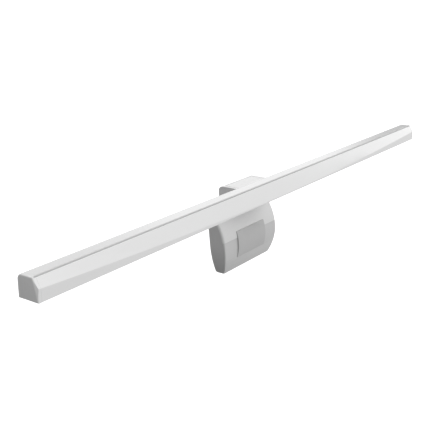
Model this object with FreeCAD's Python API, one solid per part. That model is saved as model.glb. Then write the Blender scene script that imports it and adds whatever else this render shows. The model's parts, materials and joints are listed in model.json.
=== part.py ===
import FreeCAD, Part
import math
import os

# Monitor light bar: a long lamp on a tilt hinge, an arm that rests on the monitor's top edge, and a
# sprung counterweight clamp that hangs behind the monitor. Millimetres, +X along the bar, -Y towards
# the user, +Z up. The origin is the centre of the arm's rest pad, where it touches the monitor.

V = FreeCAD.Vector
REACH = 300.0                   # past every face along X, for cutting tools

# Bar, outside
BAR_HALF = 251.0
BAR_TOP = 18.0
BAR_BOTTOM = 4.2
BAR_REAR = -18.0
REAR_TOP_RADIUS = 3.4
TOP_FRONT = -29.4               # where the front face meets the top
FACE_FRONT = -32.9              # foremost edge of the front face
ARC_END_Z = 12.07               # the front face's lower edge, at the bar's ends
ARC_MIDDLE_Z = 5.1              # and at its middle
FACE_TOP = 17.25
GROOVE_REAR = -28.2
GROOVE_FRONT = -29.2
GROOVE_FLOOR = 16.6
CAP_THICKNESS = 2.4
CAP_EDGE_RADIUS = 0.8
CAP_LAND = 1.2                  # outer strip of the cap that the groove doesn't cross
CAP_SLANT_TOP = -29.8           # the end face's straight front edge, at the face's top
CAP_SLANT_FOOT = -32.8          # and at the bar's bottom
CAP_SLANT_DEPTH = 0.5           # how far the planed facet goes inward for each mm forward
BODY_HALF = BAR_HALF - CAP_THICKNESS

# Bar, inside
BAR_WALL = 1.4
COVER_HOOK_REAR = -27.6
COVER_HOOK_BOTTOM = 15.7
COVER_FOOT_REAR = -30.2
BOARD_BOTTOM = 11.3
BOARD_TOP = 12.1
BOARD_HALF = 238.0
BOARD_REAR = -21.0
SPREADER_TOP = 12.7
SPREADER_FRONT = -28.2
SPREADER_REAR = -19.5
SPREADER_OVERHANG = 4.0
LENS_LOW = 4.9
LENS_TOP = 5.9
LENS_PLAY = 0.1
CHIP_COUNT = 56
CHIP_SIZE = (2.8, 2.2, 0.7)
CHIP_FRONT = -25.6
CHIP_MARGIN = 4.0
REFLECTOR_SHEET = 0.5

# Control board, under the bar's top wall
CONTROL_X = (-34.0, 62.0)
CONTROL_Y = (-27.2, -20.2)
CONTROL_BOTTOM = 13.8
CONTROL_TOP = 14.6
CONTROL_SCREW_X = (-30.0, 58.0)
CONTROL_SCREW_Y = -24.0
CONTROL_SCREW_RADIUS = 0.8
CONTROL_HEAD_RADIUS = 1.6
CONTROL_HEAD = 0.9
CONTROL_BOSS_RADIUS = 1.9
CONTROL_SCREW_TOP = 16.4
TOUCH_X = (-18.0, 0.0, 18.0)
TOUCH_Y = -24.2
TOUCH_RADIUS = 2.6

# Inlet in the rear wall
INLET_X = 40.0
INLET_Z = 14.7
INLET_WIDTH = 8.94
INLET_HEIGHT = 3.16
INLET_DEPTH = 7.0
INLET_WALL = 0.3
INLET_RECESS = 0.15
INLET_BACK = 1.0
TONGUE_HALF = 3.3
TONGUE_LENGTH = 4.6
TONGUE_HALF_THICKNESS = 0.35

# Tilt hinge between the bar and the arm
TILT_Y = -12.5
TILT_Z = 9.0
TILT_PIN_RADIUS = 1.6
KNUCKLE_RADIUS = 3.9
KNUCKLE_HALF = 8.6
KNUCKLE_GAP = 0.4
EAR_INNER = 9.3
EAR_OUTER = 17.2
EAR_WEB_FRONT = 1.6
WASHER_RADIUS = 3.8
WASHER_PLAY = 0.1
PIN_INSET = 0.4
RUNNING_CLEARANCE = 0.05
BRACKET_HALF = 16.4
BRACKET_PLATE = 1.0
BRACKET_Z = (5.0, 14.2)
BRACKET_WEB_HALF = 3.2
BRACKET_CORNER_RADIUS = 1.6
BRACKET_SCREW_X = (-13.0, 13.0)
BRACKET_SCREW_Z = 8.6
BRACKET_SCREW_RADIUS = 0.9
BRACKET_HEAD_RADIUS = 1.7
BRACKET_HEAD = 0.9

# Arm
ARM_HALF = 21.3
ARM_TOP = 7.9
ARM_REAR = 16.6
ARM_FRONT = -14.4
ARM_CORNER_RADIUS = 4.5
ARM_UPRIGHT_RADIUS = 1.2
ARM_WALL_BOTTOM = -3.0
COVER_SPLIT = 4.6
COVER_FRONT = -7.4
COVER_GROOVE = 0.7
COVER_GROOVE_INSET = 2.6
COVER_GROOVE_DEPTH = 0.35
PAD_THICKNESS = 1.0
PAD_REAR = 5.4
PAD_FRONT = -9.6
REST_PAD_HALF = 17.0
REST_PAD_CORNER = 1.5
LIP_BOTTOM = -4.5
LIP_REAR = -11.0
LIP_PAD_THICKNESS = 0.8
LIP_PAD_Z = (-3.9, -0.4)
POCKET_HALF = 14.0
POCKET_Y = (-9.0, 15.0)
POCKET_FLOOR = 2.4
STIFFENER_TOP = 3.6
STIFFENER_PLAY = 0.5
COVER_SCREWS = [(x, y) for x in (-10.5, 10.5) for y in (-6.0, 2.6)]
COVER_SCREW_RADIUS = 0.9
COVER_SCREW_TOP = 6.0
COVER_POST_RADIUS = 2.0
COVER_HEAD_RADIUS = 1.8
COVER_HEAD_Z = (1.0, 1.6)

# Clamp hinge
CLAMP_Y = 11.4
CLAMP_Z = -8.7
CLAMP_PIN_RADIUS = 1.5
ARM_KNUCKLE_RADIUS = 5.0
ARM_TAIL_ANGLE = math.radians(-22.0)
CLAMP_EAR_RADIUS = 5.4
CLAMP_EAR_INNER = 21.7
CLAMP_EAR_OUTER = 28.0
CLAMP_EAR_ROOT = -20.0
LEDGE_Z = -14.5
SPRING_X = (9.5, -9.5)
SPRING_POCKET_HALF = 3.6
SPRING_POCKET_Y = (7.7, 15.1)
SPRING_POCKET_TOP = -4.6
SPRING_WIRE_RADIUS = 0.45
SPRING_COIL_RADIUS = 2.7
SPRING_TURNS = 6
SPRING_PITCH = 1.0

# Clamp block
BLOCK_HALF = 37.6
BLOCK_BOTTOM_HALF = 32.5
BLOCK_TOP = -11.0
BLOCK_BOTTOM = -59.0
SHOULDER_RADIUS = 9.0
SIDE_STRAIGHT_Z = -35.0
FRONT_RADIUS = 43.4
FRONT_MIDDLE = (-1.35, -40.1)
REAR_TOP = (16.0, -11.0)
REAR_LOW = (11.6, -56.2)
HEEL_RADIUS = 2.2
BLOCK_RIM_RADIUS = 1.6
RIM_SPLIT = 10.2
PARTING_Z = -31.7
PANEL_THICKNESS = 1.8
PANEL_STEP = 0.3
SHELL_WALL = 2.4
CORE_Z = (-23.4, -53.0)
CORE_HEEL_RADIUS = 1.0
CORE_PLAY = 0.2
PAD_HALF = 19.7
CLAMP_PAD_TOP = -26.8
CLAMP_PAD_BOTTOM = -48.3
CLAMP_PAD_FACE = -2.2
CLAMP_PAD_TOP_PROUD = 0.5
CLAMP_SCREWS = [(x, z) for x in (-24.0, 24.0) for z in (-37.0, -46.5)]
CLAMP_SCREW_RADIUS = 1.2
CLAMP_SCREW_SINK = 3.0
CLAMP_BOSS_RADIUS = 3.0
CLAMP_BOSS_HEIGHT = 2.0
CLAMP_RECESS_RADIUS = 2.4
CLAMP_HEAD_RADIUS = 2.1
CLAMP_HEAD = 1.4
CROSS_HALF = 1.3
CROSS_WIDTH = 0.6
CROSS_DEPTH = 0.7
TRIM_POSTS = [(x, -19.5) for x in (-31.0, 31.0)]
TRIM_POST_RADIUS = 1.2
TRIM_POST_LENGTH = 3.0


def box(x0, x1, y0, y1, z0, z1):
    return Part.makeBox(x1 - x0, y1 - y0, z1 - z0, V(x0, y0, z0))


def cylinder_x(y, z, radius, x0, x1):
    return Part.makeCylinder(radius, x1 - x0, V(x0, y, z), V(1, 0, 0))


def cylinder_y(x, z, radius, y0, y1):
    return Part.makeCylinder(radius, y1 - y0, V(x, y0, z), V(0, 1, 0))


def cylinder_z(x, y, radius, z0, z1):
    return Part.makeCylinder(radius, z1 - z0, V(x, y, z0), V(0, 0, 1))


def line(a, b):
    return Part.LineSegment(a, b).toShape()


def arc(a, b, c):
    return Part.Arc(a, b, c).toShape()


def prism_x(points, x0, x1):
    """Extrude a polygon of (y, z) points along X."""
    corners = [V(x0, y, z) for y, z in points]
    return Part.Face(Part.makePolygon(corners + corners[:1])).extrude(V(x1 - x0, 0, 0))


def one(shape):
    """Merge coplanar faces left by a boolean."""
    return shape.removeSplitter()


def group(shapes):
    return Part.makeCompound(shapes)


# ---------------------------------------------------------------- bar

def bar_envelope(x0, x1):
    """The bar's full section: upright rear, rounded rear top corner, flat top, sloping front."""
    corner_y = BAR_REAR - REAR_TOP_RADIUS
    corner_z = BAR_TOP - REAR_TOP_RADIUS
    reach = REAR_TOP_RADIUS * math.sqrt(0.5)
    edges = [
        line(V(x0, BAR_REAR, BAR_BOTTOM), V(x0, BAR_REAR, corner_z)),
        arc(V(x0, BAR_REAR, corner_z), V(x0, corner_y + reach, corner_z + reach), V(x0, corner_y, BAR_TOP)),
        line(V(x0, corner_y, BAR_TOP), V(x0, FACE_FRONT, BAR_TOP)),
        line(V(x0, FACE_FRONT, BAR_TOP), V(x0, FACE_FRONT, BAR_BOTTOM)),
        line(V(x0, FACE_FRONT, BAR_BOTTOM), V(x0, BAR_REAR, BAR_BOTTOM)),
    ]
    section = Part.Face(Part.Wire(edges))
    return section.extrude(V(x1 - x0, 0, 0)).cut(front_cutter())


def front_cutter():
    """Everything in front of the twisted face, which joins the top edge to the long shallow arc."""
    reach = BAR_HALF + 10.0
    sag = (ARC_END_Z - ARC_MIDDLE_Z) * (reach / BAR_HALF) ** 2
    top_edge = Part.makeLine(V(-reach, TOP_FRONT, BAR_TOP), V(reach, TOP_FRONT, BAR_TOP))
    low_edge = arc(
        V(-reach, FACE_FRONT, ARC_MIDDLE_Z + sag),
        V(0, FACE_FRONT, ARC_MIDDLE_Z),
        V(reach, FACE_FRONT, ARC_MIDDLE_Z + sag),
    )
    return Part.makeRuledSurface(top_edge, low_edge).extrude(V(0, -8, 8))


def inlet_block(grow, y0, y1):
    """The inlet's stadium section, grown on all sides."""
    half = INLET_WIDTH / 2 + grow
    radius = INLET_HEIGHT / 2 + grow
    middle = box(INLET_X - half + radius, INLET_X + half - radius, y0, y1, INLET_Z - radius, INLET_Z + radius)
    ends = [cylinder_y(INLET_X + s * (half - radius), INLET_Z, radius, y0, y1) for s in (-1, 1)]
    return one(middle.fuse(ends))


def bar_housing():
    """Rear wall and top wall, with rails for the board and the diffuser."""
    rear_inside = BAR_REAR - BAR_WALL
    top = box(-BODY_HALF, BODY_HALF, GROOVE_REAR, BAR_REAR, GROOVE_FLOOR, BAR_TOP)
    rear = box(-BODY_HALF, BODY_HALF, rear_inside, BAR_REAR, BAR_BOTTOM, BAR_TOP)
    ledge = box(-BODY_HALF, BODY_HALF, rear_inside - 1.2, BAR_REAR, BAR_BOTTOM, LENS_LOW - LENS_PLAY)
    rail = box(-BODY_HALF, BODY_HALF, rear_inside - 1.0, rear_inside, BOARD_BOTTOM, BOARD_TOP)
    corner = prism_x([
        (BAR_REAR, BAR_TOP),
        (BAR_REAR, CONTROL_TOP),
        (rear_inside, CONTROL_TOP),
        (rear_inside - 2.0, GROOVE_FLOOR),
        (rear_inside - 2.6, BAR_TOP),
    ], -BODY_HALF, BODY_HALF)
    body = top.fuse([rear, ledge, rail, corner]).common(bar_envelope(-BODY_HALF, BODY_HALF))
    body = body.cut(inlet_block(LENS_PLAY, BAR_REAR - BAR_WALL - 4.0, BAR_REAR + 1))
    for x in BRACKET_SCREW_X:
        hole = cylinder_y(x, BRACKET_SCREW_Z, BRACKET_SCREW_RADIUS + 0.25, rear_inside - 1, BAR_REAR + 1)
        body = body.cut(hole)
    for x in CONTROL_SCREW_X:
        body = body.fuse(cylinder_z(x, CONTROL_SCREW_Y, CONTROL_BOSS_RADIUS, CONTROL_TOP, BAR_TOP - 1))
        body = body.cut(cylinder_z(x, CONTROL_SCREW_Y, CONTROL_SCREW_RADIUS, CONTROL_TOP - 1, BAR_TOP - 1))
    return one(body)


def front_cover():
    """Sloping front shell: hook under the top wall, shelf for the board, foot beside the diffuser."""
    outline = [
        (FACE_FRONT, BAR_BOTTOM),
        (FACE_FRONT, BAR_TOP),
        (GROOVE_FRONT, BAR_TOP),
        (GROOVE_FRONT, GROOVE_FLOOR),
        (COVER_HOOK_REAR, GROOVE_FLOOR),
        (COVER_HOOK_REAR, COVER_HOOK_BOTTOM),
        (-28.3, 15.5),
        (-29.1, SPREADER_TOP),
        (-28.4, BOARD_TOP),
        (-28.4, 11.4),
        (-29.4, 11.4),
        (-31.0, LENS_TOP),
        (-31.0, LENS_LOW - LENS_PLAY),
        (COVER_FOOT_REAR, LENS_LOW - LENS_PLAY),
        (COVER_FOOT_REAR, BAR_BOTTOM),
    ]
    body = prism_x(outline, -BODY_HALF, BODY_HALF).cut(front_cutter())
    return one(body.cut(box(-REACH, REACH, FACE_FRONT - 1, GROOVE_FRONT + 1, FACE_TOP, BAR_TOP + 2)))


def diffuser():
    """Lens along the bar's underside, with a step on each long edge that rests on a ledge."""
    front = COVER_FOOT_REAR + LENS_PLAY
    rear = BAR_REAR - BAR_WALL - 1.3
    profile = [
        (-30.9, LENS_LOW),
        (-30.9, LENS_TOP),
        (rear + 1.2, LENS_TOP),
        (rear + 1.2, LENS_LOW),
        (rear, LENS_LOW),
        (rear, BAR_BOTTOM),
        (front, BAR_BOTTOM),
        (front, LENS_LOW),
    ]
    return prism_x(profile, -BODY_HALF, BODY_HALF)


def cap_facet(side):
    """Wedge in front of a slanted plane, which planes the knee off the cap's front rim."""
    start = V(side * BAR_HALF, CAP_SLANT_TOP, FACE_TOP)
    run = V(0, CAP_SLANT_FOOT - CAP_SLANT_TOP, BAR_BOTTOM - FACE_TOP)
    width = 6.0
    corners = [
        start - run * 0.5,
        start - run * 0.5 + V(side, 0, 0),
        start - run * 0.5 + V(side, -width, 0),
        start - run * 0.5 + V(-side * width * CAP_SLANT_DEPTH, -width, 0),
    ]
    return Part.Face(Part.makePolygon(corners + corners[:1])).extrude(run * 2.0)


def end_cap(side):
    """Plate with a rounded rim, the top groove cut into it, and two tabs that plug into the bar."""
    x0, x1 = sorted((side * BODY_HALF, side * BAR_HALF))
    plate = bar_envelope(x0, x1)
    outer = [e for e in plate.Edges if all(abs(v.X - side * BAR_HALF) < 1e-6 for v in e.Vertexes)]
    plate = plate.makeFillet(CAP_EDGE_RADIUS, outer)
    g0, g1 = sorted((side * (BODY_HALF - 1), side * (BAR_HALF - CAP_LAND)))
    plate = plate.cut(box(g0, g1, GROOVE_FRONT, GROOVE_REAR, GROOVE_FLOOR, BAR_TOP + 1))
    plate = plate.cut(box(g0, g1, FACE_FRONT, GROOVE_REAR, FACE_TOP, BAR_TOP + 1))
    plate = plate.cut(cap_facet(side))
    tabs = [
        box(-1, 1, -26.5, -21.5, 13.0, 16.4),
        box(-1, 1, -27.5, -22.5, 6.1, 10.4),
    ]
    for tab in tabs:
        tab.translate(V(side * (BODY_HALF - 1.0), 0, 0))
    return one(plate.fuse(tabs))


def heat_spreader():
    half = BOARD_HALF + SPREADER_OVERHANG
    return box(-half, half, SPREADER_FRONT, SPREADER_REAR, BOARD_TOP, SPREADER_TOP)


def led_board():
    return box(-BOARD_HALF, BOARD_HALF, COVER_HOOK_REAR, BOARD_REAR, BOARD_BOTTOM, BOARD_TOP)


def led_chips():
    length, width, height = CHIP_SIZE
    first = -BOARD_HALF + CHIP_MARGIN
    pitch = -2 * first / (CHIP_COUNT - 1)
    chips = []
    for i in range(CHIP_COUNT):
        x0 = first + i * pitch - length / 2
        chip = box(x0, x0 + length, CHIP_FRONT, CHIP_FRONT + width, BOARD_BOTTOM - height, BOARD_BOTTOM)
        chips.append(chip)
    return group(chips)


def reflector():
    """A thin bent sheet behind the light sources that throws the light forward and down."""
    x0 = -BOARD_HALF
    outer = [V(x0, -20.9, 11.1), V(x0, -22.2, 8.6), V(x0, -21.1, 6.0)]
    inner = [point - V(0, REFLECTOR_SHEET, 0) for point in outer]
    edges = [arc(*outer), line(outer[2], inner[2]), arc(*inner), line(inner[0], outer[0])]
    return Part.Face(Part.Wire(edges)).extrude(V(2 * BOARD_HALF, 0, 0))


def control_board():
    """Board with the touch keys' controller and the power parts on its underside."""
    board = box(*CONTROL_X, *CONTROL_Y, CONTROL_BOTTOM, CONTROL_TOP)
    board = board.cut(inlet_block(INLET_RECESS, CONTROL_Y[0] + 1, BAR_REAR))
    for x in CONTROL_SCREW_X:
        board = board.cut(cylinder_z(x, CONTROL_SCREW_Y, CONTROL_SCREW_RADIUS + 0.1, 13.0, 15.0))
    controller = box(-8, -2, -26.5, -22.5, CONTROL_BOTTOM - 0.8, CONTROL_BOTTOM)
    coil = box(6, 9, -26.0, -23.0, CONTROL_BOTTOM - 0.9, CONTROL_BOTTOM)
    regulator = box(22, 26, -26.0, -22.0, CONTROL_BOTTOM - 0.9, CONTROL_BOTTOM)
    return one(board.fuse([controller, coil, regulator]))


def control_board_screws():
    screws = []
    low = CONTROL_BOTTOM - CONTROL_HEAD
    for x in CONTROL_SCREW_X:
        shank = cylinder_z(x, CONTROL_SCREW_Y, CONTROL_SCREW_RADIUS, CONTROL_BOTTOM, CONTROL_SCREW_TOP)
        head = cylinder_z(x, CONTROL_SCREW_Y, CONTROL_HEAD_RADIUS, low, CONTROL_BOTTOM)
        slot = box(x - 1.1, x + 1.1, CONTROL_SCREW_Y - 0.2, CONTROL_SCREW_Y + 0.2, low - 0.1, low + 0.3)
        screws.append(head.fuse(shank).cut(slot))
    return group(screws)


def touch_pads():
    return group([cylinder_z(x, TOUCH_Y, TOUCH_RADIUS, CONTROL_TOP, GROOVE_FLOOR) for x in TOUCH_X])


def usb_c_shell():
    mouth = BAR_REAR - INLET_RECESS
    shell = inlet_block(0.0, mouth - INLET_DEPTH, mouth)
    return shell.cut(inlet_block(-INLET_WALL, mouth - INLET_DEPTH + INLET_BACK, mouth + 1.0))


def usb_c_tongue():
    y0 = BAR_REAR - INLET_RECESS - INLET_DEPTH + INLET_BACK
    z0 = INLET_Z - TONGUE_HALF_THICKNESS
    z1 = INLET_Z + TONGUE_HALF_THICKNESS
    return box(INLET_X - TONGUE_HALF, INLET_X + TONGUE_HALF, y0, y0 + TONGUE_LENGTH, z0, z1)


def hinge_bracket():
    """Plate on the bar's rear wall with the middle knuckle of the tilt hinge."""
    plate = box(-BRACKET_HALF, BRACKET_HALF, BAR_REAR, BAR_REAR + BRACKET_PLATE, *BRACKET_Z)
    corners = [e for e in plate.Edges if abs(e.Length - BRACKET_PLATE) < 1e-6]
    plate = plate.makeFillet(BRACKET_CORNER_RADIUS, corners)
    web = box(-KNUCKLE_HALF, KNUCKLE_HALF, BAR_REAR + BRACKET_PLATE / 2, TILT_Y,
              TILT_Z - BRACKET_WEB_HALF, TILT_Z + BRACKET_WEB_HALF)
    knuckle = cylinder_x(TILT_Y, TILT_Z, KNUCKLE_RADIUS, -KNUCKLE_HALF, KNUCKLE_HALF)
    body = plate.fuse([web, knuckle])
    body = body.cut(cylinder_x(TILT_Y, TILT_Z, TILT_PIN_RADIUS + RUNNING_CLEARANCE, -20, 20))
    for x in BRACKET_SCREW_X:
        body = body.cut(cylinder_y(x, BRACKET_SCREW_Z, BRACKET_SCREW_RADIUS, BAR_REAR - 1, BAR_REAR + 2))
    return one(body)


def hinge_bracket_screws():
    screws = []
    wall = BAR_REAR - BAR_WALL
    for x in BRACKET_SCREW_X:
        shank = cylinder_y(x, BRACKET_SCREW_Z, BRACKET_SCREW_RADIUS, wall, BAR_REAR + BRACKET_PLATE)
        head = cylinder_y(x, BRACKET_SCREW_Z, BRACKET_HEAD_RADIUS, wall - BRACKET_HEAD, wall)
        screws.append(head.fuse(shank))
    return group(screws)


# ---------------------------------------------------------------- arm

def arm_side():
    """Side view of the whole hook: lip, flat top, round rear top corner, rear wall and knuckle."""
    x0 = -ARM_HALF
    radius = ARM_CORNER_RADIUS
    reach = radius * math.sqrt(0.5)
    tail = V(x0, CLAMP_Y + ARM_KNUCKLE_RADIUS * math.cos(ARM_TAIL_ANGLE),
             CLAMP_Z + ARM_KNUCKLE_RADIUS * math.sin(ARM_TAIL_ANGLE))
    bottom = V(x0, CLAMP_Y, CLAMP_Z - ARM_KNUCKLE_RADIUS)
    front = V(x0, CLAMP_Y - ARM_KNUCKLE_RADIUS, CLAMP_Z)
    edges = [
        line(V(x0, ARM_FRONT, LIP_BOTTOM), V(x0, ARM_FRONT, ARM_TOP)),
        line(V(x0, ARM_FRONT, ARM_TOP), V(x0, ARM_REAR - radius, ARM_TOP)),
        arc(V(x0, ARM_REAR - radius, ARM_TOP),
            V(x0, ARM_REAR - radius + reach, ARM_TOP - radius + reach),
            V(x0, ARM_REAR, ARM_TOP - radius)),
        line(V(x0, ARM_REAR, ARM_TOP - radius), V(x0, ARM_REAR, ARM_WALL_BOTTOM)),
        line(V(x0, ARM_REAR, ARM_WALL_BOTTOM), tail),
        arc(tail, bottom, front),
        line(front, V(x0, CLAMP_Y - ARM_KNUCKLE_RADIUS, PAD_THICKNESS)),
        line(V(x0, CLAMP_Y - ARM_KNUCKLE_RADIUS, PAD_THICKNESS), V(x0, LIP_REAR, PAD_THICKNESS)),
        line(V(x0, LIP_REAR, PAD_THICKNESS), V(x0, LIP_REAR, LIP_BOTTOM)),
        line(V(x0, LIP_REAR, LIP_BOTTOM), V(x0, ARM_FRONT, LIP_BOTTOM)),
    ]
    return Part.Face(Part.Wire(edges)).extrude(V(2 * ARM_HALF, 0, 0))


def arm_plan():
    """The arm's outline from above, with its two rear corners rounded."""
    body = box(-ARM_HALF, ARM_HALF, ARM_FRONT, ARM_REAR, CLAMP_Z - 10, ARM_TOP + 1)
    corners = [e for e in body.Edges if e.BoundBox.YMin > ARM_REAR - 1e-3 and e.BoundBox.ZLength > 1]
    return body.makeFillet(ARM_UPRIGHT_RADIUS, corners)


def arm_hook():
    return arm_side().common(arm_plan())


def tilt_ears():
    ears = []
    for x0, x1 in ((-EAR_OUTER, -EAR_INNER), (EAR_INNER, EAR_OUTER)):
        web = box(x0, x1, TILT_Y - EAR_WEB_FRONT, TILT_Y + KNUCKLE_RADIUS, COVER_SPLIT - 1, TILT_Z)
        ears.append(cylinder_x(TILT_Y, TILT_Z, KNUCKLE_RADIUS, x0, x1).fuse(web))
    return ears


def arm_base():
    """Hook body: lip, rest, hinge ears, pocket for the stiffener, knuckle with two spring pockets."""
    body = arm_hook()
    body = body.cut(box(-REACH, REACH, -40, 40, COVER_SPLIT, 20))
    body = body.fuse(tilt_ears())
    body = body.cut(cylinder_x(TILT_Y, TILT_Z, TILT_PIN_RADIUS, -REACH, REACH))
    body = body.cut(cylinder_x(TILT_Y, TILT_Z, KNUCKLE_RADIUS + KNUCKLE_GAP, -EAR_INNER, EAR_INNER))
    body = body.cut(box(-POCKET_HALF, POCKET_HALF, *POCKET_Y, POCKET_FLOOR, COVER_SPLIT + 1))
    body = body.cut(cylinder_x(CLAMP_Y, CLAMP_Z, CLAMP_PIN_RADIUS + RUNNING_CLEARANCE, -REACH, REACH))
    for x in SPRING_X:
        x0 = x - SPRING_POCKET_HALF
        x1 = x + SPRING_POCKET_HALF
        body = body.cut(box(x0, x1, *SPRING_POCKET_Y, CLAMP_Z - 10, SPRING_POCKET_TOP))
    for x, y in COVER_SCREWS:
        body = body.cut(cylinder_z(x, y, COVER_SCREW_RADIUS + 0.2, 0, COVER_SPLIT))
        body = body.cut(cylinder_z(x, y, COVER_HEAD_RADIUS + 0.2, 0, COVER_HEAD_Z[1]))
    return one(body)


def arm_top_cover():
    """Cover over the arm's top and rear corner, with a fine line around its top panel."""
    body = arm_hook().common(box(-REACH, REACH, COVER_FRONT, 40, COVER_SPLIT, 20))
    half = ARM_HALF - COVER_GROOVE_INSET
    front = COVER_FRONT + COVER_GROOVE_INSET
    rear = ARM_REAR - ARM_CORNER_RADIUS
    floor = ARM_TOP - COVER_GROOVE_DEPTH
    groove = box(-half, half, front, rear, floor, ARM_TOP + 1)
    island = box(-half + COVER_GROOVE, half - COVER_GROOVE, front + COVER_GROOVE, rear - COVER_GROOVE,
                 floor - 1, ARM_TOP + 2)
    body = body.cut(groove.cut(island))
    for x, y in COVER_SCREWS:
        body = body.fuse(cylinder_z(x, y, COVER_POST_RADIUS, POCKET_FLOOR, COVER_SPLIT + 0.6))
        body = body.cut(cylinder_z(x, y, COVER_SCREW_RADIUS, POCKET_FLOOR - 0.4, COVER_SCREW_TOP + 0.2))
    return one(body)


def arm_stiffener():
    half = POCKET_HALF - STIFFENER_PLAY
    front = POCKET_Y[0] + STIFFENER_PLAY
    rear = POCKET_Y[1] - STIFFENER_PLAY
    plate = box(-half, half, front, rear, POCKET_FLOOR, STIFFENER_TOP)
    for x, y in COVER_SCREWS:
        plate = plate.cut(cylinder_z(x, y, COVER_POST_RADIUS + 0.3, POCKET_FLOOR - 1, STIFFENER_TOP + 1))
    return one(plate)


def arm_screws():
    screws = []
    for x, y in COVER_SCREWS:
        head = cylinder_z(x, y, COVER_HEAD_RADIUS, *COVER_HEAD_Z)
        shank = cylinder_z(x, y, COVER_SCREW_RADIUS, COVER_HEAD_Z[1], COVER_SCREW_TOP)
        screws.append(head.fuse(shank))
    return group(screws)


def rest_pad():
    pad = box(-REST_PAD_HALF, REST_PAD_HALF, PAD_FRONT, PAD_REAR, 0.0, PAD_THICKNESS)
    corners = [e for e in pad.Edges if abs(e.Length - PAD_THICKNESS) < 1e-6]
    return pad.makeFillet(REST_PAD_CORNER, corners)


def lip_pad():
    return box(-REST_PAD_HALF, REST_PAD_HALF, LIP_REAR, LIP_REAR + LIP_PAD_THICKNESS, *LIP_PAD_Z)


def tilt_pin():
    half = EAR_OUTER - PIN_INSET
    return cylinder_x(TILT_Y, TILT_Z, TILT_PIN_RADIUS, -half, half)


def tilt_washers():
    washers = []
    for side in (-1, 1):
        x0, x1 = sorted((side * (KNUCKLE_HALF + WASHER_PLAY), side * EAR_INNER))
        disc = cylinder_x(TILT_Y, TILT_Z, WASHER_RADIUS, x0, x1)
        washers.append(disc.cut(cylinder_x(TILT_Y, TILT_Z, TILT_PIN_RADIUS, x0, x1)))
    return group(washers)


def clamp_springs():
    """Two torsion springs around the clamp's pin, inside the arm's knuckle."""
    springs = []
    length = SPRING_TURNS * SPRING_PITCH
    for x in SPRING_X:
        helix = Part.makeHelix(SPRING_PITCH, length, SPRING_COIL_RADIUS)
        circle = Part.makeCircle(SPRING_WIRE_RADIUS, V(SPRING_COIL_RADIUS, 0, 0), V(0, 1, 0))
        coil = Part.Wire(helix.Edges).makePipeShell([Part.Wire(circle)], True, True)
        coil.rotate(V(0, 0, 0), V(0, 1, 0), 90)
        coil.translate(V(x - length / 2, CLAMP_Y, CLAMP_Z))
        springs.append(coil)
    return group(springs)


# ---------------------------------------------------------------- clamp

REAR_SLOPE = (REAR_TOP[0] - REAR_LOW[0]) / (REAR_TOP[1] - REAR_LOW[1])
FRONT_CENTRE_Y = FRONT_MIDDLE[0] + FRONT_RADIUS


def front_y(z, inset=0.0):
    """The block's front surface at height z, moved in by inset."""
    return FRONT_CENTRE_Y - math.sqrt((FRONT_RADIUS - inset) ** 2 - (z - FRONT_MIDDLE[1]) ** 2)


def rear_y(z, inset=0.0):
    """The block's straight, sloping rear surface at height z, moved in by inset."""
    return REAR_LOW[0] + REAR_SLOPE * (z - REAR_LOW[1]) - inset


def half_width(z):
    """Half width of the block below the straight part of its sides, on an arc tangent to it."""
    run = SIDE_STRAIGHT_Z - BLOCK_BOTTOM
    drop = BLOCK_HALF - BLOCK_BOTTOM_HALF
    radius = (run ** 2 + drop ** 2) / (2 * drop)
    return BLOCK_HALF - radius + math.sqrt(radius ** 2 - (SIDE_STRAIGHT_Z - z) ** 2)


def block_side(inset, top, bottom, heel_radius):
    """Side view: convex front arc, flat bottom, round heel and sloping rear moved in by inset."""
    x0 = -BLOCK_HALF - 10
    lean = math.atan(REAR_SLOPE)
    centre_z = bottom + heel_radius
    centre_y = rear_y(centre_z, inset) - heel_radius / math.cos(lean)
    heel = []
    for angle in (-math.pi / 2, -(math.pi / 2 + lean) / 2, -lean):
        heel.append(V(x0, centre_y + heel_radius * math.cos(angle), centre_z + heel_radius * math.sin(angle)))
    front = [V(x0, front_y(z), z) for z in (top, (top + bottom) / 2, bottom)]
    top_rear = V(x0, rear_y(top, inset), top)
    edges = [arc(*front), line(front[2], heel[0]), arc(*heel)]
    edges += [line(heel[2], top_rear), line(top_rear, front[0])]
    return Part.Face(Part.Wire(edges)).extrude(V(-2 * x0, 0, 0))


def block_front(inset, top, bottom):
    """Front view of the block: round shoulders, full width at half height, narrower bottom."""
    y0 = -20.0
    half = BLOCK_HALF - inset
    bend = (SIDE_STRAIGHT_Z + bottom) / 2
    middle = half_width(bend) - inset
    low = half_width(bottom) - inset
    radius = SHOULDER_RADIUS - inset
    reach = radius * (1 - math.sqrt(0.5))
    edges = [line(V(-half + radius, y0, top), V(half - radius, y0, top))]
    edges.append(line(V(low, y0, bottom), V(-low, y0, bottom)))
    for s in (-1, 1):
        edges.append(arc(V(s * (half - radius), y0, top), V(s * (half - reach), y0, top - reach),
                         V(s * half, y0, top - radius)))
        edges.append(line(V(s * half, y0, top - radius), V(s * half, y0, SIDE_STRAIGHT_Z)))
        edges.append(arc(V(s * half, y0, SIDE_STRAIGHT_Z), V(s * middle, y0, bend), V(s * low, y0, bottom)))
    wire = Part.Wire(Part.__sortEdges__(edges))
    return Part.Face(wire).extrude(V(0, 60, 0))


def side_rims(body, y_low, y_high):
    """The long edges down the block's two sides that lie between two depths."""
    rims = []
    for edge in body.Edges:
        b = edge.BoundBox
        at_side = b.XMin > BLOCK_BOTTOM_HALF - 6 or b.XMax < -BLOCK_BOTTOM_HALF + 6
        if at_side and b.ZLength > 3 and b.YMin > y_low and b.YMax < y_high:
            rims.append(edge)
    return rims


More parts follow.
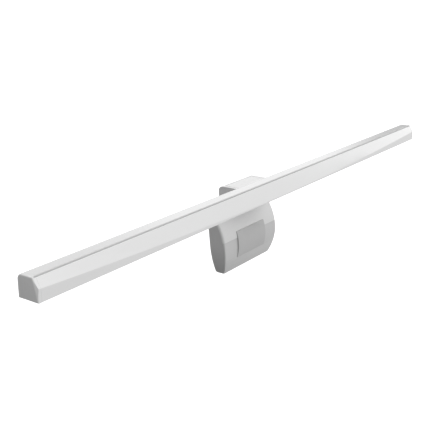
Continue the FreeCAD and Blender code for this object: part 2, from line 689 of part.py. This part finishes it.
def block_solid():
    body = block_side(0.0, BLOCK_TOP, BLOCK_BOTTOM, HEEL_RADIUS)
    body = body.common(block_front(0.0, BLOCK_TOP, BLOCK_BOTTOM)).Solids[0]
    body = body.makeFillet(BLOCK_RIM_RADIUS, side_rims(body, -5.0, RIM_SPLIT))
    return body.makeFillet(BLOCK_RIM_RADIUS, side_rims(body, RIM_SPLIT, 20.0))


def block_core(inset):
    """The space inside the shells, open at the front, which the steel counterweight fills."""
    top = CORE_Z[0] + SHELL_WALL - inset
    bottom = CORE_Z[1] - SHELL_WALL + inset
    body = block_side(inset, top, bottom, CORE_HEEL_RADIUS)
    return body.common(block_front(inset, top, bottom))


def above_parting():
    return box(-REACH, REACH, -20, 40, PARTING_Z, 10)


def below_parting():
    return box(-REACH, REACH, -20, 40, BLOCK_BOTTOM - 5, PARTING_Z)


def behind_front(depth):
    """Everything more than depth behind the block's front surface."""
    return Part.makeCylinder(FRONT_RADIUS - depth, 2 * REACH,
                             V(-REACH, FRONT_CENTRE_Y, FRONT_MIDDLE[1]), V(1, 0, 0))


def clamp_ears():
    ears = []
    for side in (-1, 1):
        x0, x1 = sorted((side * CLAMP_EAR_INNER, side * CLAMP_EAR_OUTER))
        lobe = cylinder_x(CLAMP_Y, CLAMP_Z, CLAMP_EAR_RADIUS, x0, x1)
        rear = rear_y(CLAMP_EAR_ROOT)
        neck = box(x0, x1, CLAMP_Y - CLAMP_EAR_RADIUS, rear, CLAMP_EAR_ROOT, CLAMP_Z)
        ears.append(lobe.fuse(neck))
    return ears


def clamp_pad():
    """Raised pad with a convex face, set into the front."""
    middle_z = (CLAMP_PAD_TOP + CLAMP_PAD_BOTTOM) / 2
    top = V(-PAD_HALF, front_y(CLAMP_PAD_TOP) - CLAMP_PAD_TOP_PROUD, CLAMP_PAD_TOP)
    bottom = V(-PAD_HALF, front_y(CLAMP_PAD_BOTTOM), CLAMP_PAD_BOTTOM)
    back_top = V(-PAD_HALF, front_y(CLAMP_PAD_TOP, PANEL_THICKNESS), CLAMP_PAD_TOP)
    back_middle = V(-PAD_HALF, front_y(middle_z, PANEL_THICKNESS), middle_z)
    back_bottom = V(-PAD_HALF, front_y(CLAMP_PAD_BOTTOM, PANEL_THICKNESS), CLAMP_PAD_BOTTOM)
    edges = [
        arc(top, V(-PAD_HALF, CLAMP_PAD_FACE, middle_z), bottom),
        line(bottom, back_bottom),
        arc(back_bottom, back_middle, back_top),
        line(back_top, top),
    ]
    return Part.Face(Part.Wire(edges)).extrude(V(2 * PAD_HALF, 0, 0))


def pad_window():
    return box(-PAD_HALF, PAD_HALF, -10, 10, CLAMP_PAD_BOTTOM, CLAMP_PAD_TOP)


def screw_seat(z):
    """Depth at which a screw's head sits, in a round recess in the rear surface."""
    return rear_y(z) - CLAMP_SCREW_SINK


def clamp_front_trim():
    """Upper front plate, with a notch for the pad and two posts that plug into the upper shell."""
    body = block_solid().common(above_parting()).cut(behind_front(PANEL_THICKNESS))
    body = body.cut(box(-CLAMP_EAR_INNER, CLAMP_EAR_INNER, -20, 40, LEDGE_Z, 10))
    body = body.cut(pad_window()).cut(clamp_ears())
    for x, z in TRIM_POSTS:
        back = front_y(z, PANEL_THICKNESS)
        body = body.fuse(cylinder_y(x, z, TRIM_POST_RADIUS, back - 0.8, back + TRIM_POST_LENGTH))
    return one(body)


def clamp_upper_shell():
    """Upper half behind the trim: shoulders, ledge below the arm's knuckle and two hinge ears."""
    body = block_solid().common(behind_front(PANEL_THICKNESS)).fuse(clamp_ears())
    body = body.common(above_parting())
    body = body.cut(box(-CLAMP_EAR_INNER, CLAMP_EAR_INNER, -20, 40, LEDGE_Z, 10))
    body = body.cut(cylinder_x(CLAMP_Y, CLAMP_Z, CLAMP_PIN_RADIUS, -REACH, REACH))
    for x, z in TRIM_POSTS:
        hole_end = front_y(z, PANEL_THICKNESS) + TRIM_POST_LENGTH
        body = body.cut(cylinder_y(x, z, TRIM_POST_RADIUS, -5, hole_end))
    return one(body.cut(block_core(SHELL_WALL)))


def clamp_rear_shell():
    """Lower half behind the panel, with four recessed screw seats in its rear."""
    body = block_solid().common(below_parting())
    body = body.common(behind_front(PANEL_THICKNESS)).cut(block_core(SHELL_WALL))
    for x, z in CLAMP_SCREWS:
        seat = screw_seat(z)
        body = body.fuse(cylinder_y(x, z, CLAMP_BOSS_RADIUS, seat - CLAMP_BOSS_HEIGHT, seat + 1.0))
        body = body.cut(cylinder_y(x, z, CLAMP_SCREW_RADIUS, 0, 30))
        body = body.cut(cylinder_y(x, z, CLAMP_RECESS_RADIUS, seat, 30))
    return one(body)


def clamp_front_panel():
    """Lower front plate around the pad, a step behind the trim, with bosses for the screws."""
    body = block_solid().common(below_parting()).common(behind_front(PANEL_STEP))
    body = body.cut(behind_front(PANEL_THICKNESS)).cut(pad_window())
    for x, z in CLAMP_SCREWS:
        boss_end = screw_seat(z) - CLAMP_BOSS_HEIGHT
        body = body.fuse(cylinder_y(x, z, CLAMP_BOSS_RADIUS, front_y(z, PANEL_THICKNESS) - 0.8, boss_end))
        body = body.cut(cylinder_y(x, z, CLAMP_SCREW_RADIUS, front_y(z, PANEL_THICKNESS), 30))
    return one(body)


def counterweight():
    """Steel block that fills the shells, with channels for the screw bosses."""
    body = block_core(SHELL_WALL + CORE_PLAY).common(behind_front(PANEL_THICKNESS))
    for x, z in CLAMP_SCREWS:
        body = body.cut(cylinder_y(x, z, CLAMP_BOSS_RADIUS + CORE_PLAY, -5, 30))
    return one(body)


def clamp_screws():
    """Four cross-head screws, driven from behind through the rear shell into the panel's bosses."""
    screws = []
    half = CROSS_WIDTH / 2
    for x, z in CLAMP_SCREWS:
        seat = screw_seat(z)
        top = seat + CLAMP_HEAD
        head = cylinder_y(x, z, CLAMP_HEAD_RADIUS, seat, top)
        shank = cylinder_y(x, z, CLAMP_SCREW_RADIUS, front_y(z, PANEL_THICKNESS), seat)
        floor = top - CROSS_DEPTH
        level_slot = box(x - CROSS_HALF, x + CROSS_HALF, floor, top + 1, z - half, z + half)
        upright_slot = box(x - half, x + half, floor, top + 1, z - CROSS_HALF, z + CROSS_HALF)
        screws.append(head.fuse(shank).cut([level_slot, upright_slot]))
    return group(screws)


def clamp_pin():
    half = CLAMP_EAR_OUTER - PIN_INSET
    return cylinder_x(CLAMP_Y, CLAMP_Z, CLAMP_PIN_RADIUS, -half, half)


NODES = {
    "bar_housing": bar_housing,
    "front_cover": front_cover,
    "diffuser": diffuser,
    "end_cap_left": lambda: end_cap(-1),
    "end_cap_right": lambda: end_cap(1),
    "heat_spreader": heat_spreader,
    "led_board": led_board,
    "led_chips": led_chips,
    "reflector": reflector,
    "control_board": control_board,
    "control_board_screws": control_board_screws,
    "touch_pads": touch_pads,
    "usb_c_shell": usb_c_shell,
    "usb_c_tongue": usb_c_tongue,
    "hinge_bracket": hinge_bracket,
    "hinge_bracket_screws": hinge_bracket_screws,
    "arm_base": arm_base,
    "arm_top_cover": arm_top_cover,
    "arm_stiffener": arm_stiffener,
    "arm_screws": arm_screws,
    "rest_pad": rest_pad,
    "lip_pad": lip_pad,
    "tilt_pin": tilt_pin,
    "tilt_washers": tilt_washers,
    "clamp_springs": clamp_springs,
    "clamp_front_trim": clamp_front_trim,
    "clamp_upper_shell": clamp_upper_shell,
    "clamp_rear_shell": clamp_rear_shell,
    "clamp_front_panel": clamp_front_panel,
    "clamp_pad": clamp_pad,
    "counterweight": counterweight,
    "clamp_screws": clamp_screws,
    "clamp_pin": clamp_pin,
}

os.makedirs("parts", exist_ok=True)
for node, make in NODES.items():
    shape = make()
    print(f"{node}: {len(shape.Solids)} solid(s), {shape.Volume:.1f} mm3, valid {shape.isValid()}")
    shape.exportStep(f"parts/{node}.step")
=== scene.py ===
import json
import math

import bmesh
import bpy
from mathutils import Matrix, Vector


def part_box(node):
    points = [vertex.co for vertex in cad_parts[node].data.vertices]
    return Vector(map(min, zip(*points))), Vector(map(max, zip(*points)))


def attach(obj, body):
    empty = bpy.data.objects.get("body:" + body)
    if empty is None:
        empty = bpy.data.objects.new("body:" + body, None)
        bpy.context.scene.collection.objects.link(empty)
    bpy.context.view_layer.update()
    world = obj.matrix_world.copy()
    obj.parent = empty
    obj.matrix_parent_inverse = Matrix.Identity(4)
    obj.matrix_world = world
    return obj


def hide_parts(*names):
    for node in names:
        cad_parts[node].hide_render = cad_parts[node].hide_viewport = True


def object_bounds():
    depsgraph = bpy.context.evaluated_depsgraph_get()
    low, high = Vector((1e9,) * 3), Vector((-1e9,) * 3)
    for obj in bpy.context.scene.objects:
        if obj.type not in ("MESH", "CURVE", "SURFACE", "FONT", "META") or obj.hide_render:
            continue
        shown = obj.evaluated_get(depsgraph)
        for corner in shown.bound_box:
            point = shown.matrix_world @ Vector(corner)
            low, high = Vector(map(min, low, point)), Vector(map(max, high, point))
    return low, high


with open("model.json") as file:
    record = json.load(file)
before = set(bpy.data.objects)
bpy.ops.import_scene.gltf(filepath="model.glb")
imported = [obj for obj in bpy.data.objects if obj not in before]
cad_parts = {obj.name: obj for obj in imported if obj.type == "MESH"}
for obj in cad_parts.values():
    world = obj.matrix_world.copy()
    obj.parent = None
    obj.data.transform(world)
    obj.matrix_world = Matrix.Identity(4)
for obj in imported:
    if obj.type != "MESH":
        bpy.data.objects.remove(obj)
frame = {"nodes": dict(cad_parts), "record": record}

cad_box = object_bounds()

# ---------------------------------------------------------------- camera

CAMERA_PLACE = Vector((-0.4931, -0.3144, 0.1646))
CAMERA_AZIMUTH = math.radians(-54.70)           # from -Y towards +X
CAMERA_ELEVATION = math.radians(17.39)
SENSOR = 36.0
FOCAL = 64.55


def make_camera():
    """A camera in front of the bar's left end, looking along it and a little down."""
    data = bpy.data.cameras.new("camera")
    data.sensor_width = SENSOR
    data.lens = FOCAL
    data.clip_start = 0.01
    data.clip_end = 100.0
    camera = bpy.data.objects.new("camera", data)
    bpy.context.collection.objects.link(camera)
    back = Vector((
        math.sin(CAMERA_AZIMUTH) * math.cos(CAMERA_ELEVATION),
        -math.cos(CAMERA_AZIMUTH) * math.cos(CAMERA_ELEVATION),
        math.sin(CAMERA_ELEVATION),
    ))
    camera.location = CAMERA_PLACE
    camera.rotation_euler = (-back).to_track_quat("-Z", "Y").to_euler()
    bpy.context.scene.camera = camera


# ---------------------------------------------------------------- materials

GROOVE_WIDTH = 0.0010           # the parting groove in front of the housing's top wall
GROOVE_DEPTH = 0.0014
GROOVE_EDGE = 0.00004           # how far past its walls the groove's shade reaches
GROOVE_STOP = 0.0012            # the groove ends this far short of the bar's end
GROOVE_SHADE = 0.72             # painted shade: how much of the plastic's colour is left at the groove's floor


class Tree:
    """Short calls for building a node tree."""

    def __init__(self, tree):
        self.tree = tree

    def add(self, kind, **inputs):
        """A new node; a socket's name is written with _ for each space."""
        node = self.tree.nodes.new(kind)
        for key, value in inputs.items():
            node.inputs[key.replace("_", " ")].default_value = value
        return node

    def link(self, source, target):
        self.tree.links.new(source, target)

    def combine(self, operation, value, other=0.0):
        """One math step on a value, with a number or with another value."""
        node = self.tree.nodes.new("ShaderNodeMath")
        node.operation = operation
        self.link(value, node.inputs[0])
        if isinstance(other, float):
            node.inputs[1].default_value = other
        else:
            self.link(other, node.inputs[1])
        return node.outputs["Value"]

    def dot(self, vector, direction):
        node = self.tree.nodes.new("ShaderNodeVectorMath")
        node.operation = "DOT_PRODUCT"
        node.inputs[1].default_value = direction
        self.link(vector, node.inputs[0])
        return node.outputs["Value"]

    def spread(self, value, low, high, start=0.0, end=1.0, curve="LINEAR"):
        """Map a value from start..end to low..high."""
        node = self.add("ShaderNodeMapRange", From_Min=start, From_Max=end, To_Min=low, To_Max=high)
        node.interpolation_type = curve
        self.link(value, node.inputs["Value"])
        return node.outputs["Result"]


class Surface(Tree):
    """A material's node tree, with its shader."""

    def __init__(self, name):
        self.material = bpy.data.materials.new(name)
        self.material.use_nodes = True
        super().__init__(self.material.node_tree)
        self.shader = self.tree.nodes["Principled BSDF"]

    def feed(self, socket, value):
        """Link a value that varies over the surface to one of the shader's sockets."""
        self.link(value, self.shader.inputs[socket])

    def fix(self, socket, value):
        """Set a value that is the same all over the surface."""
        self.shader.inputs[socket].default_value = value

    def place(self, stretch=(1.0, 1.0, 1.0)):
        """Object coordinates in metres, stretched along the row's axes."""
        coords = self.tree.nodes.new("ShaderNodeTexCoord")
        mapping = self.add("ShaderNodeMapping", Scale=stretch)
        self.link(coords.outputs["Object"], mapping.inputs["Vector"])
        return mapping.outputs["Vector"]

    def noise(self, scale, detail=2.0, stretch=(1.0, 1.0, 1.0)):
        node = self.add("ShaderNodeTexNoise", Scale=scale, Detail=detail)
        self.link(self.place(stretch), node.inputs["Vector"])
        return node.outputs["Fac"]

    def tint(self, value, dark, light):
        """A colour between dark and light."""
        mix = self.tree.nodes.new("ShaderNodeMix")
        mix.data_type = "RGBA"
        mix.inputs["A"].default_value = (*dark, 1.0)
        mix.inputs["B"].default_value = (*light, 1.0)
        self.link(value, mix.inputs["Factor"])
        return mix.outputs["Result"]

    def dim(self, colour, share):
        """A colour times a value."""
        node = self.tree.nodes.new("ShaderNodeVectorMath")
        node.operation = "SCALE"
        self.link(colour, node.inputs[0])
        self.link(share, node.inputs["Scale"])
        return node.outputs["Vector"]

    def bump(self, height, strength, distance):
        node = self.add("ShaderNodeBump", Strength=strength, Distance=distance)
        self.link(height, node.inputs["Height"])
        self.feed("Normal", node.outputs["Normal"])


def grey(level, warm=0.0):
    return (level * (1 + warm), level, level * (1 - warm))


def moulded(name, level, roughness, warm=0.0, coat=0.0, with_painted_groove_shade=False):
    """Moulded plastic: fine spark-eroded grain, faint flow mottling and uneven gloss, with painted shade
    in the parting groove if asked.
    """
    s = Surface(name)
    mottle = s.noise(scale=35.0, detail=4.0)
    colour = s.tint(mottle, grey(level * 0.985, warm), grey(level * 1.012, warm))
    gloss = s.noise(scale=260.0, detail=3.0)
    # with the flag set, the colour is darkened by painted shade in the bar's parting groove
    s.feed("Base Color", s.dim(colour, groove_shade(s)) if with_painted_groove_shade else colour)
    s.feed("Roughness", s.spread(gloss, roughness * 0.9, roughness * 1.12))
    s.fix("Coat Weight", coat)
    s.bump(s.noise(scale=9000.0), strength=0.25, distance=0.00001)
    return s.material


def groove_shade(s):
    """Painted shade in the bar's long parting groove, darker towards its floor, and 1 elsewhere."""
    axes = s.tree.nodes.new("ShaderNodeSeparateXYZ")
    s.link(s.place(), axes.inputs[0])
    x, y, z = (axes.outputs[axis] for axis in "XYZ")
    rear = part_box("bar_housing")[0].y
    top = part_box("bar_housing")[1].z
    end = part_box("end_cap_right")[1].x - GROOVE_STOP
    floor = top - GROOVE_DEPTH
    outside = (
        s.combine("GREATER_THAN", y, rear + GROOVE_EDGE),
        s.combine("LESS_THAN", y, rear - GROOVE_WIDTH - GROOVE_EDGE),
        s.combine("LESS_THAN", z, floor - GROOVE_EDGE),
        s.combine("GREATER_THAN", s.combine("ABSOLUTE", x), end),
    )
    # painted shade, darkest at the groove's floor and fading out at its top
    shade = s.spread(z, GROOVE_SHADE, 1.0, floor, top)
    for mask in outside:
        shade = s.combine("MAXIMUM", shade, mask)
    return shade


def rubber(name, level):
    """Matte silicone: soft sheen, fine powdery grain."""
    s = Surface(name)
    s.feed("Base Color", s.tint(s.noise(scale=120.0, detail=4.0), grey(level * 0.97), grey(level * 1.03)))
    s.feed("Roughness", s.spread(s.noise(scale=900.0, detail=3.0), 0.62, 0.78))
    s.fix("Specular IOR Level", 0.35)
    s.fix("Sheen Weight", 0.15)
    s.bump(s.noise(scale=5200.0, detail=3.0), strength=0.35, distance=0.00002)
    return s.material


def opal(name):
    """Opal diffuser: light scatters inside, with fine ribs along the bar."""
    s = Surface(name)
    s.feed("Base Color", s.tint(s.noise(scale=50.0), grey(0.88, 0.01), grey(0.92, 0.01)))
    s.feed("Roughness", s.spread(s.noise(scale=400.0), 0.42, 0.52))
    s.fix("Subsurface Weight", 0.35)
    s.fix("Subsurface Radius", (0.0015, 0.0015, 0.0014))
    ribs = s.noise(scale=2600.0, detail=1.0, stretch=(0.02, 1.0, 1.0))
    s.bump(ribs, strength=0.3, distance=0.00003)
    return s.material


def metal(name, level, roughness, stretch):
    """Brushed or turned metal: fine scratches drawn out along one direction."""
    s = Surface(name)
    scratches = s.noise(scale=2400.0, detail=4.0, stretch=stretch)
    s.feed("Base Color", s.tint(scratches, grey(level * 0.9), grey(level * 1.05)))
    s.feed("Roughness", s.spread(scratches, roughness * 0.8, roughness * 1.25))
    s.fix("Metallic", 1.0)
    s.bump(scratches, strength=0.15, distance=0.00002)
    return s.material


def board(name, colour):
    """Solder mask over copper: faint darker tracks under a satin lacquer."""
    s = Surface(name)
    tracks = s.add("ShaderNodeTexBrick", Scale=220.0, Mortar_Size=0.06)
    s.link(s.place(), tracks.inputs["Vector"])
    dark = tuple(c * 0.8 for c in colour)
    s.feed("Base Color", s.tint(tracks.outputs["Fac"], colour, dark))
    s.feed("Roughness", s.spread(s.noise(scale=600.0), 0.3, 0.42))
    return s.material


def phosphor(name):
    """The yellow gel on an LED chip: fine powder under a clear skin."""
    s = Surface(name)
    powder = s.noise(scale=1500.0, detail=3.0)
    s.feed("Base Color", s.tint(powder, (0.85, 0.68, 0.20), (0.95, 0.82, 0.36)))
    s.feed("Roughness", s.spread(s.noise(scale=700.0), 0.2, 0.32))
    s.fix("Coat Weight", 0.3)
    return s.material


def make_materials():
    """One material for each of the record's slots."""
    return {
        # the bar's plastic has painted shade in its parting groove
        "bar_white": moulded("bar_white", 0.84, 0.13, with_painted_groove_shade=True),
        "arm_white": moulded("arm_white", 0.82, 0.34),
        "trim_grey": moulded("trim_grey", 0.80, 0.36),
        "clamp_grey": moulded("clamp_grey", 0.68, 0.42),
        "panel_grey": moulded("panel_grey", 0.64, 0.42),
        "pad_rubber": rubber("pad_rubber", 0.58),
        "diffuser_plastic": opal("diffuser_plastic"),
        "steel": metal("steel", 0.62, 0.30, (0.04, 1.0, 1.0)),
        "screw_steel": metal("screw_steel", 0.50, 0.36, (1.0, 0.2, 1.0)),
        "aluminium": metal("aluminium", 0.75, 0.34, (0.02, 1.0, 1.0)),
        "board_white": board("board_white", (0.86, 0.86, 0.84)),
        "board_green": board("board_green", (0.05, 0.26, 0.12)),
        "led_yellow": phosphor("led_yellow"),
        "reflector_white": moulded("reflector_white", 0.90, 0.20, coat=0.3),
        "foam_black": rubber("foam_black", 0.05),
        "inlet_black": moulded("inlet_black", 0.04, 0.40),
        "nylon": moulded("nylon", 0.82, 0.45, warm=0.02),
    }


SLOT_OF = {part["node"]: part["material_slot"] for part in frame["record"]["subparts"]}
BODY_OF = {node: body for body, nodes in frame["record"]["behaviour"]["bodies"].items() for node in nodes}


def dress(piece, material):
    """Put one material on every face of a piece."""
    if not piece.material_slots:
        piece.data.materials.append(material)
    for holder in piece.material_slots:
        holder.material = material


# ---------------------------------------------------------------- moulded pieces

FLAT = math.radians(0.05)       # faces this close to one plane become one face
EDGE_ANGLE = math.radians(25.0)
FINE_EDGE_ANGLE = math.radians(9.0)
FINE_EDGES = ("bar_housing", "front_cover")     # long pieces with shallow true edges
WELD = 2e-6
EDGE_SEGMENTS = 3
EDGE_RADIUS = {
    "bar_housing": 0.00016,
    "front_cover": 0.00022,
    "end_cap_left": 0.00012,
    "end_cap_right": 0.00012,
    "diffuser": 0.00010,
    "hinge_bracket": 0.00025,
    "arm_base": 0.00060,
    "arm_top_cover": 0.00070,
    "rest_pad": 0.00025,
    "lip_pad": 0.00020,
    "clamp_front_trim": 0.00030,
    "clamp_upper_shell": 0.00040,
    "clamp_rear_shell": 0.00030,
    "clamp_front_panel": 0.00025,
    "clamp_pad": 0.00045,
}


def clean_mesh(mesh):
    """Weld the triangles and join those in one plane, so that only true edges are left."""
    bm = bmesh.new()
    bm.from_mesh(mesh)
    bmesh.ops.remove_doubles(bm, verts=bm.verts, dist=WELD)
    bmesh.ops.dissolve_limit(bm, angle_limit=FLAT, verts=bm.verts, edges=bm.edges)
    bm.to_mesh(mesh)
    bm.free()


def moulded_piece(node, radius, materials):
    """A node's shape with the soft edges that a mould gives it."""
    angle = FINE_EDGE_ANGLE if node in FINE_EDGES else EDGE_ANGLE
    mesh = frame["nodes"][node].data.copy()
    clean_mesh(mesh)
    mesh.polygons.foreach_set("use_smooth", [True] * len(mesh.polygons))
    mesh.set_sharp_from_angle(angle=angle)
    piece = bpy.data.objects.new(node + "_moulded", mesh)
    bpy.context.collection.objects.link(piece)
    bevel = piece.modifiers.new("soft_edges", "BEVEL")
    bevel.width = radius
    bevel.segments = EDGE_SEGMENTS
    bevel.limit_method = "ANGLE"
    bevel.angle_limit = angle
    bevel.use_clamp_overlap = True
    bevel.harden_normals = True
    dress(piece, materials[SLOT_OF[node]])
    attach(piece, BODY_OF[node])
    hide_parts(node)


def make_pieces(materials):
    """Moulded pieces get new meshes, and the other nodes keep theirs and get a better material."""
    for node, slot in SLOT_OF.items():
        if node in EDGE_RADIUS:
            moulded_piece(node, EDGE_RADIUS[node], materials)
        else:
            dress(frame["nodes"][node], materials[slot])


# ---------------------------------------------------------------- stage

FLOOR_DEPTH = 0.45
FLOOR_HALF = 40.0
FLOOR_GLOW = 0.35
SKY_LEVEL = 0.655
SKY_SLOPE = (0.410, -0.171, 0.50)       # how the light grows along each axis
SKY_FLOOR = 0.08
CARDS = (                       # azimuth, elevation, inner and outer radius, light that is left
    (math.radians(19.3), math.radians(9.5), math.radians(3.0), math.radians(8.0), 0.0),
    (math.radians(54.0), math.radians(22.0), math.radians(5.0), math.radians(16.0), 0.25),
)
SOFTBOX_PLACE = Vector((1.35, -0.46, 0.30))
SOFTBOX_AIM = Vector((0.25, -0.03, 0.0))
SOFTBOX_SIZE = (0.8, 0.5)
SOFTBOX_POWER = 1.0


def make_floor():
    """A plain pale floor, which gives the object no reflection or bounced light."""
    z = cad_box[0].z - FLOOR_DEPTH
    corners = [(x * FLOOR_HALF, y * FLOOR_HALF, z) for x, y in ((-1, -1), (1, -1), (1, 1), (-1, 1))]
    mesh = bpy.data.meshes.new("floor")
    mesh.from_pydata(corners, [], [(0, 1, 2, 3)])
    floor = bpy.data.objects.new("floor", mesh)
    bpy.context.collection.objects.link(floor)
    s = Surface("floor_paper")
    s.feed("Base Color", s.tint(s.noise(scale=3.0), grey(0.94), grey(0.96)))
    s.fix("Roughness", 0.9)
    s.fix("Emission Color", (1.0, 1.0, 1.0, 1.0))
    s.fix("Emission Strength", FLOOR_GLOW)
    mesh.materials.append(s.material)
    floor.visible_diffuse = False
    floor.visible_glossy = False


def make_softbox():
    """A soft light off the bar's right end."""
    data = bpy.data.lights.new("right_box", "AREA")
    data.shape = "RECTANGLE"
    data.size, data.size_y = SOFTBOX_SIZE
    data.energy = SOFTBOX_POWER
    light = bpy.data.objects.new("right_box", data)
    bpy.context.collection.objects.link(light)
    light.location = SOFTBOX_PLACE
    light.rotation_euler = (SOFTBOX_AIM - SOFTBOX_PLACE).to_track_quat("-Z", "Y").to_euler()


def make_studio():
    """A studio tent, bright above and to the right, with soft dark cards behind the object."""
    world = bpy.data.worlds.new("studio")
    bpy.context.scene.world = world
    world.use_nodes = True
    sky = Tree(world.node_tree)
    direction = sky.add("ShaderNodeTexCoord").outputs["Generated"]
    light = sky.combine("ADD", sky.dot(direction, SKY_SLOPE), SKY_LEVEL)
    light = sky.combine("MAXIMUM", light, SKY_FLOOR)
    for azimuth, elevation, inner, outer, left in CARDS:
        middle = (
            math.cos(azimuth) * math.cos(elevation),
            math.sin(azimuth) * math.cos(elevation),
            math.sin(elevation),
        )
        towards = sky.dot(direction, middle)
        card = sky.spread(towards, left, 1.0, math.cos(inner), math.cos(outer), "SMOOTHSTEP")
        light = sky.combine("MULTIPLY", light, card)
    seen = sky.add("ShaderNodeLightPath").outputs["Is Camera Ray"]
    light = sky.combine("MAXIMUM", light, seen)         # seen directly, the backdrop is plain white
    backdrop = sky.tree.nodes["Background"]
    backdrop.inputs["Color"].default_value = (1.0, 1.0, 1.0, 1.0)
    sky.link(light, backdrop.inputs["Strength"])


scene = bpy.context.scene
scene.view_settings.view_transform = "Standard"

make_camera()
make_pieces(make_materials())
make_floor()
make_studio()
make_softbox()
